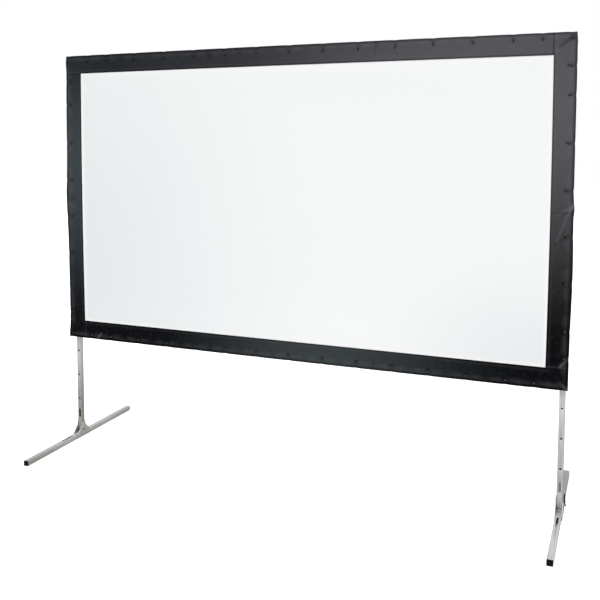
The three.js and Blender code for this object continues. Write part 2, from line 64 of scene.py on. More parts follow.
# Square tube
TUBE = 31.75
HALF = TUBE / 2
WALL = 2
CORNER = 2.5
FRAME_Y = -41.15
BOTTOM_RAIL = 737.025
TOP_RAIL = 2554.65
RAIL_END = 1563.9
RAIL_JOINT = 523
# Gap that the CAD pieces keep where they touch
CONTACT_GAP = 0.3
# How far cutters reach past a tube's middle
CUT_REACH = 40

# Legs
LEG_X = 1548
UPRIGHT_LOW = 32.15
UPRIGHT_TOP = 1294
HOLES = 7
FIRST_HOLE = 265
HOLE_PITCH = 167.5
HOLE_RADIUS = 6.2
SLOT_LOW = 136
SLOT_HIGH = 193
SLOT_WIDTH = 12.5
PIVOT_Z = 48.75
PIVOT_BORE = 4.3
END_RADIUS = 16.6
DETENT_Z = 93
DETENT_RADIUS = 4
LEVER_Y = 8
FOOT_END = 604.7
FOOT_SLOT = (-227, -104)
FOOT_SLOT_WIDTH = 10
FOOT_BUTTON_Y = -150
FOOT_CAP_END = 610
# The far face of each gusset from the leg's middle
GUSSET_FACE = HALF + CONTACT_GAP + 4
CAP_FLANGE = 5
RAIL_PLUG_FLANGE = 2.2
CAP_STEM = 22
CLAMPS = {"lower": 767.5, "upper": 1168}
KNOB_BACK = 24.575
KNOB_HUB = 5
KNOB_GRIP = 16
KNOB_LOBES = 6
KNOB_LOBE = 2.5
KNOB_CORNERS = 96
# Each knob's radius, and how far its lobes are turned, in degrees
KNOBS = {"lower": (19, 0), "upper": (29, 30)}
STUD_TIP = {"lower": 5.875, "upper": 16.175}
RIVET_RADIUS = 3.4
RIVET_RISE = 1.6
RIVET_Z = 14
GUSSET_RIVETS = (-66, -24, 24, 66)
FOOT_TOP_RIVETS = (-315, -256)
# The slides behind the right leg's slots
SLIDE_HALF = 9
SLIDE_THICK = 3
SLIDE_CLEAR = 0.4
SLIDE_LAP = 8
FOOT_SLIDE_REACH = 42


def metres(*values):
    return tuple(v * MM for v in values)


# Making and shaping

def activate(obj):
    bpy.ops.object.select_all(action="DESELECT")
    obj.select_set(True)
    bpy.context.view_layer.objects.active = obj
    return obj


def settle(name):
    """Names the object just made and puts its place into its mesh."""
    obj = bpy.context.object
    obj.name = name
    activate(obj)
    bpy.ops.object.transform_apply(location=True, rotation=True, scale=True)
    return obj


def cuboid(name, low, high):
    middle = [(a + b) / 2 * MM for a, b in zip(low, high)]
    size = [(b - a) * MM for a, b in zip(low, high)]
    bpy.ops.object.select_all(action="DESELECT")
    bpy.ops.mesh.primitive_cube_add(size=1, location=middle, scale=size)
    return settle(name)


TURNS = {"x": (0, math.pi / 2, 0), "y": (-math.pi / 2, 0, 0), "z": (0, 0, 0)}


def round_bar(name, axis, radius, start, end, across, sides=32):
    """A cylinder along an axis from start to end; across is its place on the other two axes."""
    middle = list(across)
    middle.insert("xyz".index(axis), (start + end) / 2)
    bpy.ops.object.select_all(action="DESELECT")
    bpy.ops.mesh.primitive_cylinder_add(
        vertices=sides, radius=radius * MM, depth=(end - start) * MM,
        location=metres(*middle), rotation=TURNS[axis],
    )
    return settle(name)


def open_mesh(obj, mode):
    activate(obj)
    bpy.ops.object.mode_set(mode="EDIT")
    bpy.ops.mesh.select_mode(type=mode)
    bpy.ops.mesh.select_all(action="DESELECT")


def close_mesh():
    bpy.ops.object.mode_set(mode="OBJECT")


def pick_faces(obj, test):
    """Selects the faces whose middle (in mm) and normal pass the test."""
    mesh = bmesh.from_edit_mesh(obj.data)
    for face in mesh.faces:
        face.select_set(bool(test(face.calc_center_median() / MM, face.normal)))
    bmesh.update_edit_mesh(obj.data)


def pick_edges(obj, test):
    """Selects the edges whose middle (in mm) and direction pass the test."""
    mesh = bmesh.from_edit_mesh(obj.data)
    for edge in mesh.edges:
        a, b = (v.co for v in edge.verts)
        edge.select_set(bool(test((a + b) / 2 / MM, (b - a).normalized())))
    bmesh.update_edit_mesh(obj.data)


def round_edges(obj, test, radius, segments):
    open_mesh(obj, "EDGE")
    pick_edges(obj, test)
    bpy.ops.mesh.bevel(offset=radius * MM, segments=segments, affect="EDGES")
    close_mesh()
    return obj


def soften(obj, width, segments, angle=40):
    """Breaks the sharp edges and smooths the shading of what curves."""
    activate(obj)
    bevel = obj.modifiers.new("Bevel", "BEVEL")
    bevel.width = width * MM
    bevel.segments = segments
    bevel.limit_method = "ANGLE"
    bevel.angle_limit = math.radians(angle)
    bevel.harden_normals = False
    bpy.ops.object.modifier_apply(modifier=bevel.name)
    bpy.ops.object.shade_smooth_by_angle(angle=math.radians(angle))
    return obj


def joined(name, *objects):
    bpy.ops.object.select_all(action="DESELECT")
    for obj in objects:
        obj.select_set(True)
    bpy.context.view_layer.objects.active = objects[0]
    if len(objects) > 1:
        bpy.ops.object.join()
    objects[0].name = name
    return objects[0]


def carve(obj, *cutters):
    """Cuts the cutters out of obj. The cutters don't touch each other."""
    cutter = joined("cutter", *cutters)
    activate(obj)
    boolean = obj.modifiers.new("Boolean", "BOOLEAN")
    boolean.operation = "DIFFERENCE"
    boolean.solver = "EXACT"
    boolean.object = cutter
    bpy.ops.object.modifier_apply(modifier=boolean.name)
    bpy.data.objects.remove(cutter)
    return obj


def copied(obj, name, move=(0, 0, 0)):
    twin = bpy.data.objects.new(name, obj.data.copy())
    scene.collection.objects.link(twin)
    twin.data.transform(Matrix.Translation(metres(*move)))
    return twin


def mirrored(obj, name):
    """The left-hand twin of a right-hand piece."""
    twin = copied(obj, name)
    twin.data.transform(Matrix.Scale(-1, 4, (1, 0, 0)))
    open_mesh(twin, "FACE")
    bpy.ops.mesh.select_all(action="SELECT")
    bpy.ops.mesh.normals_make_consistent(inside=False)
    close_mesh()
    return twin


def from_cad(cad_name, name, width, segments):
    """A CAD node's own mesh, its triangles merged into flats and its edges broken."""
    obj = copied(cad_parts[cad_name], name)
    obj.data.materials.clear()
    open_mesh(obj, "VERT")
    bpy.ops.mesh.select_all(action="SELECT")
    bpy.ops.mesh.remove_doubles(threshold=0.02 * MM)
    bpy.ops.mesh.dissolve_limited(angle_limit=math.radians(1))
    close_mesh()
    return soften(obj, width, segments)


def square_bar(name, axis, start, end, across):
    """A solid bar of the tube's outline along an axis; across is its place on the other two axes."""
    i = "xyz".index(axis)
    low = [v - HALF for v in across]
    high = [v + HALF for v in across]
    low.insert(i, start)
    high.insert(i, end)
    return cuboid(name, low, high)


def round_long_corners(obj, axis, across):
    """Rounds the four corners that run along a square bar."""
    i = "xyz".index(axis)
    others = [k for k in range(3) if k != i]

    def is_outer_corner(middle, way):
        off = [abs(middle[k] - across[n]) for n, k in enumerate(others)]
        return abs(way[i]) > 0.9 and min(off) > HALF - 0.1

    return round_edges(obj, is_outer_corner, CORNER, 4)


def square_tube(name, axis, start, end, across):
    """Square tube: a bar with rounded corners, its two ends inset by the wall and bridged."""
    i = "xyz".index(axis)
    obj = square_bar(name, axis, start, end, across)
    open_mesh(obj, "FACE")
    pick_faces(obj, lambda middle, normal: abs(normal[i]) > 0.9)
    bpy.ops.mesh.inset(thickness=WALL * MM, use_individual=True)
    bpy.ops.mesh.bridge_edge_loops()
    close_mesh()
    return round_long_corners(obj, axis, across)


# Finishes

def colour(code):
    """An sRGB hex colour as the linear colour that shaders take."""
    parts = [int(code[k:k + 2], 16) / 255 for k in (1, 3, 5)]
    return tuple(p / 12.92 if p <= 0.04045 else ((p + 0.055) / 1.055) ** 2.4 for p in parts) + (1,)


def node(tree, kind, settings=(), links=(), **sockets):
    """Adds a node: its settings, its input values (by name, _ for a space), and links into its inputs."""
    made = tree.nodes.new(kind)
    for key, value in dict(settings).items():
        setattr(made, key, value)
    for key, value in sockets.items():
        made.inputs[key.replace("_", " ")].default_value = value
    for target, source in dict(links).items():
        tree.links.new(source, made.inputs[target])
    return made


def material(name, base="#808080", rough=0.5, metal=0.0, specular=0.5):
    made = bpy.data.materials.new(name)
    made.use_nodes = True
    shader = made.node_tree.nodes["Principled BSDF"]
    shader.inputs["Base Color"].default_value = colour(base)
    shader.inputs["Roughness"].default_value = rough
    shader.inputs["Metallic"].default_value = metal
    shader.inputs["Specular IOR Level"].default_value = specular
    return made, made.node_tree, shader


def place_in(tree, scale, move=(0, 0, 0)):
    """Object coordinates, with a pattern's own scale along each axis, in repeats per metre."""
    where = node(tree, "ShaderNodeTexCoord")
    mapping = node(tree, "ShaderNodeMapping", links={"Vector": where.outputs["Object"]},
                   Scale=scale, Location=move)
    return mapping.outputs["Vector"]


def blend_colours(tree, amount, low, high):
    """Mixes two colours, each a hex code or the output of another node."""
    mix = node(tree, "ShaderNodeMix", {"data_type": "RGBA"})
    for socket, value in ((6, low), (7, high)):
        if isinstance(value, str):
            mix.inputs[socket].default_value = colour(value)
        else:
            tree.links.new(value, mix.inputs[socket])
    tree.links.new(amount, mix.inputs[0])
    return mix.outputs[2]


def ranged(tree, value, low, high, to_low=0.0, to_high=1.0, smooth=True):
    made = node(tree, "ShaderNodeMapRange",
                {"interpolation_type": "SMOOTHSTEP" if smooth else "LINEAR"}, {"Value": value})
    for socket, number in zip(range(1, 5), (low, high, to_low, to_high)):
        made.inputs[socket].default_value = number
    return made.outputs[0]


def bumped(tree, shader, height, depth):
    """Bump of a real depth in mm, after any bump that the shader already has."""
    made = node(tree, "ShaderNodeBump", links={"Height": height}, Distance=depth * MM, Strength=1.0)
    if shader.inputs["Normal"].is_linked:
        tree.links.new(shader.inputs["Normal"].links[0].from_socket, made.inputs["Normal"])
    tree.links.new(made.outputs["Normal"], shader.inputs["Normal"])


def light_patch(tree, middle, reach, second=2):
    """1 at a point, fading to 0 at its reach along X and a second axis (Z, or Y if that is 1), all in mm."""
    # The third axis is stretched so far that it doesn't count
    stretched = 0.001
    scale, move = [1000 / reach[0], stretched, stretched], [-middle[0] / reach[0], 0, 0]
    scale[second], move[second] = 1000 / reach[1], -middle[1] / reach[1]
    glow = node(tree, "ShaderNodeTexGradient", {"gradient_type": "SPHERICAL"},
                {"Vector": place_in(tree, scale, move)})
    return ranged(tree, glow.outputs[1], 0, 1)


def patched(tree, tone, patches, second=2):
    """Lays soft patches over a tone, one after the other."""
    for middle, reach, shade in patches:
        tone = blend_colours(tree, light_patch(tree, middle, reach, second), tone, shade)
    return tone


# Soft lights and shades that the photograph shows: the middle, the reach and the tone. The middle and the
# reach are along X and Z, and on the foot bars along X and Y.
TUBE_PAINTED_LIGHT_AND_SHADE = {
    "x": (),
    "y": (((-LEG_X, -610), (300, 450), "#A0A19C"), ((LEG_X, 330), (300, 700), "#8C8D89")),
    "z": (((-LEG_X, 150), (300, 400), "#95968F"), ((-LEG_X, 720), (300, 350), "#CACBC7"),
          ((LEG_X, 720), (300, 350), "#D5D6D2")),
}
# Painted sheen on the black cloth: soft greyer patches where it catches the light, each a middle, a reach and
# a tone
CLOTH_PAINTED_SHEEN = (
    ((-1575, 1870), (800, 1180), "#3E454A"),
    ((210, 745), (1180, 420), "#3B4043"),
    ((-950, 2516), (900, 400), "#282A2E"),
    ((1150, 2230), (2450, 1330), "#5D5C61"),
)
# Painted shade on the white vinyl: soft greyer patches at the left and low at the right, each a middle, a
# reach and a tone
VINYL_PAINTED_SHADE = (((-1700, 1100), (2100, 2600), "#E8EDEF"), ((1500, 750), (1100, 800), "#EBEDF0"))


def anodised_tube(axis):
    """Clear-anodised extruded aluminium: satin grey, with fine die lines along the tube, a cloudy tone, and
    painted light and shade in soft patches.
    """
    made, tree, shader = material(f"anodised_extrusion_{axis}", rough=0.42, metal=0.3)
    # Die lines about 3 mm apart, coarser than real ones so that they show, and 700 mm long, over clouds
    # about 110 mm wide
    along, across = 1.4, 330
    lines = node(tree, "ShaderNodeTexNoise", links={"Vector": place_in(
        tree, tuple(along if a == axis else across for a in "xyz"))}, Scale=1, Detail=2)
    clouds = node(tree, "ShaderNodeTexNoise", links={"Vector": place_in(tree, (9, 9, 9))}, Scale=1, Detail=3)
    tone = blend_colours(tree, ranged(tree, clouds.outputs[0], 0.35, 0.65), "#A7A8A5", "#B4B5B2")
    streaked_and_shaded = blend_colours(tree, ranged(tree, lines.outputs[0], 0.35, 0.7), tone, "#C3C4C1")
    # Painted light and shade: soft lighter and darker patches laid over the tubes' own tone
    streaked_and_shaded = patched(tree, streaked_and_shaded, TUBE_PAINTED_LIGHT_AND_SHADE[axis], second="xyz".index(axis))
    tree.links.new(streaked_and_shaded, shader.inputs["Base Color"])
    tree.links.new(ranged(tree, lines.outputs[0], 0.3, 0.7, 0.36, 0.5), shader.inputs["Roughness"])
    bumped(tree, shader, lines.outputs[0], 0.05)
    return made


def cast_metal(name, dark, light, rough, metal, grain_mm, depth):
    """A cast, tumbled or plated metal: patches of two tones about 14 mm wide, with a fine sandy grain."""
    made, tree, shader = material(name, rough=rough, metal=metal)
    patches = node(tree, "ShaderNodeTexNoise", links={"Vector": place_in(tree, (70, 70, 70))},
                   Scale=1, Detail=4)
    grain = node(tree, "ShaderNodeTexNoise",
                 links={"Vector": place_in(tree, (1000 / grain_mm,) * 3)}, Scale=1, Detail=2)
    tone = blend_colours(tree, ranged(tree, patches.outputs[0], 0.38, 0.62), dark, light)
    tree.links.new(tone, shader.inputs["Base Color"])
    sanded = ranged(tree, grain.outputs[0], 0.3, 0.7, rough - 0.08, rough + 0.1)
    tree.links.new(sanded, shader.inputs["Roughness"])
    bumped(tree, shader, grain.outputs[0], depth)
    return made


def pebbled_finish(name, base, worn, rough, grain_mm, depth, specular=0.5):
    """A coating or moulding: a fine pebbled grain, rubbed a little lighter in patches about 17 mm wide."""
    made, tree, shader = material(name, rough=rough, specular=specular)
    grain = node(tree, "ShaderNodeTexVoronoi", {"feature": "SMOOTH_F1"},
                 {"Vector": place_in(tree, (1000 / grain_mm,) * 3)}, Scale=1)
    clouds = node(tree, "ShaderNodeTexNoise", links={"Vector": place_in(tree, (60, 60, 60))},
                  Scale=1, Detail=3)
    tone = blend_colours(tree, ranged(tree, clouds.outputs[0], 0.35, 0.7), base, worn)
    tree.links.new(tone, shader.inputs["Base Color"])
    pebbled = ranged(tree, grain.outputs[0], 0, 0.8, rough - 0.08, rough + 0.12)
    tree.links.new(pebbled, shader.inputs["Roughness"])
    bumped(tree, shader, grain.outputs[0], depth)
    return made


# The wave texture's scale at which one wave is one unit long
ONE_WAVE = 0.314


def coated_cloth():
    """Black vinyl-coated cloth: a dull sheen over a fine weave, greyer in painted sheen where it catches the
    light, with painted shade in its creases and a painted highlight on its puffs.
    """
    made, tree, shader = material("black_vinyl_coated_cloth", rough=0.6, specular=0.02)
    # Painted sheen: soft greyer patches over the black
    tone = patched(tree, "#0C0D10", CLOTH_PAINTED_SHEEN)
    # Weave of 3 mm, coarser than the real half millimetre so that it shows, over a soft mottling of 30 mm
    mottle = node(tree, "ShaderNodeTexNoise", links={"Vector": place_in(tree, (33, 33, 33))},
                  Scale=1, Detail=4)
    tone = blend_colours(tree, ranged(tree, mottle.outputs[0], 0.45, 0.75, 0, 0.05), tone, "#6A6C70")
    crease = node(tree, "ShaderNodeAttribute", {"attribute_name": "crease"})
    highlight_attribute = node(tree, "ShaderNodeAttribute", {"attribute_name": "puff"})
    # Painted shade in the creases, the snaps' hollows and along the edges, with dark lines at the seams, and
    # a painted highlight on the puffs and ridges
    tone = blend_colours(tree, crease.outputs["Fac"], tone, "#060708")
    tone = blend_colours(tree, highlight_attribute.outputs["Fac"], tone, "#7A7D82")
    tree.links.new(tone, shader.inputs["Base Color"])
    waves = []
    for direction in ("X", "Z"):
        waves.append(node(tree, "ShaderNodeTexWave", {"bands_direction": direction},
                          {"Vector": place_in(tree, (333, 333, 333))}, Scale=ONE_WAVE).outputs["Fac"])
    weave = node(tree, "ShaderNodeMath", {"operation": "MULTIPLY"}, {0: waves[0], 1: waves[1]})
    bumped(tree, shader, mottle.outputs[0], 0.35)
    bumped(tree, shader, weave.outputs[0], 0.12)
    return made


def screen_vinyl():
    """Matt white front-projection vinyl: dead flat white, greyed a little by painted shade in soft patches,
    with the faintest grain, 2 mm wide.
    """
    made, tree, shader = material("matt_white_projection_vinyl", rough=0.9, specular=0.15)
    # Painted shade: soft greyer patches over the white
    tone = patched(tree, "#FAFBFC", VINYL_PAINTED_SHADE)
    edge = node(tree, "ShaderNodeAttribute", {"attribute_name": "edge"})
    tone = blend_colours(tree, edge.outputs["Fac"], tone, "#FFFFFF")
    grain = node(tree, "ShaderNodeTexNoise", links={"Vector": place_in(tree, (500, 500, 500))},
                 Scale=1, Detail=2)
    tree.links.new(tone, shader.inputs["Base Color"])
    bumped(tree, shader, grain.outputs[0], 0.03)
    return made


def threaded_steel():
    """Zinc-plated screw thread: rings 1.5 mm apart, a little coarser than a real stud's, with painted shade
    in their grooves and a painted highlight on their crests.
    """
    made, tree, shader = material("zinc_plated_thread", "#A6A7A2", 0.3, 0.9)
    rings = node(tree, "ShaderNodeTexWave", {"bands_direction": "Y"},
                 {"Vector": place_in(tree, (667, 667, 667))}, Scale=ONE_WAVE)
    # Painted shade and highlight: darker in the rings' grooves, brighter on their crests
    tone = blend_colours(tree, rings.outputs["Fac"], "#6F706C", "#B9BAB4")
    tree.links.new(tone, shader.inputs["Base Color"])
    bumped(tree, shader, rings.outputs["Fac"], 0.5)
    return made


# To the eye the tubes are satin outside and, by painted shade, nearly black inside, the castings pale and
# sandy, the plated steel a darker and shinier grey, coat and nylon black with a soft sheen, and rubber duller
# than both
TUBE_FINISH = {axis: anodised_tube(axis) for axis in "xyz"}
# Painted shade: the near-black inside of the tubes and the rims of their holes
TUBE_INSIDE_SHADE = cast_metal("tube_inside_painted_shade", "#0B0B0B", "#151615", 0.8, 0.0, 4, 0.1)
CAST = cast_metal("tumbled_cast_aluminium", "#A2A5A1", "#BBBEBA", 0.5, 0.35, 1.5, 0.15)
ZINC = cast_metal("zinc_plated_steel", "#7D7F7B", "#A3A4A0", 0.38, 0.8, 2.5, 0.05)
COATED = pebbled_finish("black_powder_coat", "#141516", "#232425", 0.5, 1.2, 0.1)
PLASTIC = pebbled_finish("moulded_black_nylon", "#0E0F10", "#1B1C1D", 0.48, 0.9, 0.08)
# Dull and waxy, so blacker to the eye than nylon
DULL_PLASTIC = pebbled_finish("moulded_black_polyethylene", "#050506", "#0B0B0C", 0.65, 1.2, 0.06, 0.1)
RUBBER = pebbled_finish("black_rubber", "#08090A", "#101112", 0.7, 1.5, 0.05, 0.1)
GREY_PLASTIC = pebbled_finish("moulded_grey_nylon", "#9C9D9A", "#AAABA8", 0.5, 0.9, 0.08)
DARK_GREY_PLASTIC = pebbled_finish("moulded_dark_grey_nylon", "#747571", "#82837F", 0.5, 0.9, 0.08)
THREAD = threaded_steel()
CLOTH = coated_cloth()
VINYL = screen_vinyl()


def coat(obj, finish, test):
    """Gives the faces whose middle (in mm) and normal pass the test a second finish."""
    obj.data.materials.append(finish)
    for face in obj.data.polygons:
        if test(face.center / MM, face.normal):
            face.material_index = len(obj.data.materials) - 1


def darken_inside(obj, axis, across):
    """Gives a tube's inner walls and the rims of its holes their own dull, near-black finish: painted shade
    for the shade inside the tube.
    """
    i = "xyz".index(axis)
    others = [k for k in range(3) if k != i]

    def is_dark(middle, normal):
        off = [abs(middle[k] - across[n]) for n, k in enumerate(others)]
        outward = normal[others[off.index(max(off))]]
        inner_wall = max(off) < HALF - WALL + 0.1 and abs(normal[i]) < 0.9
        return inner_wall or (max(off) < HALF - 0.1 and min(off) < HALF - 3 and abs(outward) < 0.5)

    coat(obj, TUBE_INSIDE_SHADE, is_dark)


def dress(obj, finish, body, slot, *nodes):
    """Gives a finished piece its material and its body, and hides the CAD nodes that it stands for. Its slot
    is not used.
    """
    obj.data.materials.clear()
    obj.data.materials.append(finish)
    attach(obj, body)
    if nodes:
        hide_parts(*nodes)
    return obj


def both_sides(obj, name, finish, body, slot, *nodes):
    """Dresses a right-hand piece and its left-hand twin. {} in a name is the side."""
    twin = mirrored(obj, name.format("left"))
    obj.name = name.format("right")
    for piece, side in ((obj, "right"), (twin, "left")):
        dress(piece, finish, body.format(side), slot, *(n.format(side) for n in nodes))


# Camera, where the photograph was taken from

CAMERA_AT = (1.8358, -4.8647, 2.0649)
CAMERA_YAW = math.radians(-24.587)
CAMERA_PITCH = math.radians(4.779)
CAMERA_ROLL = math.radians(0.2015)
CAMERA_SENSOR = 36
CAMERA_LENS = 51.948
CAMERA_SHIFT = (0.1111, -0.1545)


def make_camera():
    ahead = Vector((math.sin(CAMERA_YAW) * math.cos(CAMERA_PITCH),
                    math.cos(CAMERA_YAW) * math.cos(CAMERA_PITCH), -math.sin(CAMERA_PITCH)))
    right = Vector((math.cos(CAMERA_YAW), -math.sin(CAMERA_YAW), 0))
    down = ahead.cross(right)
    turned_right = math.cos(CAMERA_ROLL) * right + math.sin(CAMERA_ROLL) * down
    turned_down = -math.sin(CAMERA_ROLL) * right + math.cos(CAMERA_ROLL) * down
    data = bpy.data.cameras.new("camera")
    data.sensor_width = CAMERA_SENSOR
    data.lens = CAMERA_LENS
    data.shift_x, data.shift_y = CAMERA_SHIFT
    obj = bpy.data.objects.new("camera", data)
    scene.collection.objects.link(obj)
    axes = Matrix((turned_right, -turned_down, -ahead)).transposed().to_4x4()
    obj.matrix_world = Matrix.Translation(CAMERA_AT) @ axes
    scene.camera = obj


make_camera()


# Fabric

EDGE_X, SEAM_X, SEAM_Z = FABRIC_WIDTH / 2, FABRIC_WIDTH / 2 - BORDER, FABRIC_HEIGHT - BORDER


def falloff(distance, width):
    return np.exp(-(distance / width) ** 2)


def ramp(value, start, end):
    t = np.clip((value - start) / (end - start), 0, 1)
    return t * t * (3 - 2 * t)


def border_snaps():
    """Every snap on the border (x, z, way in along x, way in along z), from the middle of its lower edge."""
    spots = []
    for x in sorted(set(RAIL_SNAPS + [-v for v in RAIL_SNAPS])):
        spots.append((x, SNAP_INSET, 0, 1))
        spots.append((x, FABRIC_HEIGHT - SNAP_INSET, 0, -1))
    for away in SIDE_SNAPS + [-v for v in SIDE_SNAPS]:
        for side in (-1, 1):
            spots.append((side * (FABRIC_WIDTH / 2 - SNAP_INSET), FABRIC_HEIGHT / 2 + away, -side, 0))
    return spots


# Creases and folds that aren't at a snap: ends (x, z) and (x, z) on the border in mm from its lower middle,
# height (below zero is a crease), width
FOLDS = [
    ((1572, 940), (1476, 940), -2.4, 5),
    ((1572, 975), (1500, 930), 1.6, 9),
    ((1572, 990), (1500, 790), 2.2, 7),
    ((1560, 825), (1490, 770), -1.4, 6),
    ((1570, 648), (1500, 646), -1.2, 5),
    ((1535, 126), (1572, 172), 2.4, 7),
    ((1572, 140), (1480, 150), -1.8, 6),
    ((1565, 8), (1535, 40), 2.0, 8),
    ((-1572, 940), (-1490, 925), -1.6, 6),
    ((-1570, 905), (-1500, 870), 1.3, 8),
    ((-1360, 6), (-1335, 36), 3.0, 6),
    ((-1530, 30), (-1440, 96), -1.4, 9),
    ((-RAIL_JOINT, 4), (-517, 70), -1.1, 6),
    ((RAIL_JOINT, 4), (530, 70), -1.3, 6),
    ((-RAIL_JOINT, 1868), (-520, 1800), -1.2, 6),
    ((RAIL_JOINT, 1868), (515, 1795), -1.4, 6),
    ((1553, 1850), (1490, 1800), -2.6, 9),
    ((1478, 1790), (1478, 1766), 1.8, 5),
    ((1490, 1782), (1492, 1760), 1.6, 4),
]
# Where the border's outer edge bulges: side, height, how far out, width
BULGES = ((1, 965, 5, 34), (-1, 1826, 3.5, 30), (1, 1840, 4, 40), (-1, 985, 2, 60))
# How far in from an edge of the border its sideways moves reach
HEM_REACH = 14
WINDOW_REACH = 30


def inward(x, z):
    """How far in from the cloth's outer edge points are, in mm, given from the middle of its lower edge."""
    half_width, half_height = FABRIC_WIDTH / 2, FABRIC_HEIGHT / 2
    return np.minimum(half_width - np.abs(x), half_height - np.abs(z - half_height))


def border_relief(x, z):
    """How far the cloth stands forward of flat, in mm, at points from the middle of its lower edge."""
    edge = inward(x, z)
    window = BORDER - edge
    # A step and a ridge beside the weld round the window, a ridge along the hem, a groove at its stitches
    relief = 0.9 * ramp(window, 6, 13) + 0.9 * falloff(window - 14, 4)
    relief += 1.2 * falloff(edge - 15, 4) - 0.6 * falloff(edge - 34, 3.5)
    # Slow waves between the two, where the cloth is slack
    slack = ramp(edge, 6, 26) * ramp(window, 8, 40)
    relief += slack * (
        0.7 * np.sin(x / 61 + 1.7 * np.sin(z / 140)) * np.sin(z / 47 + 0.6)
        + 0.9 * np.sin(x / 173 + z / 90) + 0.5 * np.sin(x / 37 - z / 71 + 2)
    )
    crease = np.zeros_like(x)
    puff = np.zeros_like(x)
    under_cap = np.zeros_like(x)
    # Each snap draws a hollow and a crease towards the window, and the cloth puffs up at both its sides
    snap_reach = 130
    for snap_x, snap_z, way_x, way_z in border_snaps():
        dx, dz = x - snap_x, z - snap_z
        near = (np.abs(dx) < snap_reach) & (np.abs(dz) < snap_reach)
        along = (dx * way_x + dz * way_z)[near]
        across = (dx * way_z - dz * way_x)[near]
        distance = np.hypot(along, across)
        seed = math.sin(snap_x * 12.9898 + snap_z * 78.233)
        reach = 26 + 6 * seed
        wedge = falloff(across - 0.25 * seed * along, 3 + 0.16 * np.maximum(along, 0))
        wedge = wedge * ramp(along, -4, 4) * (1 - ramp(along, reach * 0.5, reach))
        lens = (ramp(np.abs(across), 8, 34) * (1 - ramp(np.abs(across), 60, 104))
                * falloff(along - 3, 11))
        relief[near] += (2.0 + 0.6 * seed) * lens - 1.4 * falloff(distance, 11) - 2.0 * wedge
        under_cap[near] = np.maximum(under_cap[near], 1 - ramp(distance, SNAP_RADIUS - 1, SNAP_RADIUS + 5))
        # Painted shade in the snap's hollow and crease, and a painted highlight on the puffs beside it
        crease[near] += 0.8 * wedge + 0.35 * falloff(distance, 9)
        puff[near] += 0.07 * lens
    for start, end, height, width in FOLDS:
        start, end = np.array(start, float), np.array(end, float)
        line = end - start
        t = ((x - start[0]) * line[0] + (z - start[1]) * line[1]) / (line @ line)
        t = np.clip(t, 0, 1)
        distance = np.hypot(x - start[0] - t * line[0], z - start[1] - t * line[1])
        shape = falloff(distance, width) * (1 - 0.6 * t)
        relief += height * shape
        # Painted shade along a crease, and a painted highlight along a fold
        crease += np.maximum(-height, 0) * 0.22 * shape
        puff += np.maximum(height, 0) * 0.14 * shape
    # The outer edge's binding is pulled back over the tube, and the cloth thickens at the window's weld
    relief -= 4.0 * np.clip((13 - edge) / 13, 0, 1) ** 1.5
    # Painted shade along the outer edge and beside the weld, and a painted highlight on the ridges by the hem
    # and the weld
    crease += 0.55 * (1 - ramp(edge, 4, 15)) + 0.35 * (1 - ramp(window, 5, 11))
    puff += 0.05 * falloff(edge - 18, 4) + 0.06 * falloff(window - 15, 4)
    # Seams of the four strips, laid round the window like the sails of a pinwheel
    for past, there in (
        (x - SEAM_X, z > SEAM_Z), (x + SEAM_X, z < BORDER),
        (z - BORDER, x > SEAM_X), (z - SEAM_Z, x < -SEAM_X),
    ):
        # A dark line at each seam, and a painted highlight on the ridge 7 mm off it
        crease += 0.7 * falloff(past, 3) * there
        puff += 0.12 * falloff(past - 7, 3) * there
    relief = np.where(window < 6, np.maximum(relief, 0), relief)
    # The tube's face is close behind the cloth, and each snap holds it flat
    relief = np.maximum(relief, -1.0 - 3.2 * (1 - ramp(edge, 5, 11)))
    relief *= 1 - under_cap
    return relief, np.clip(crease, 0, 1), np.clip(puff, 0, 1)


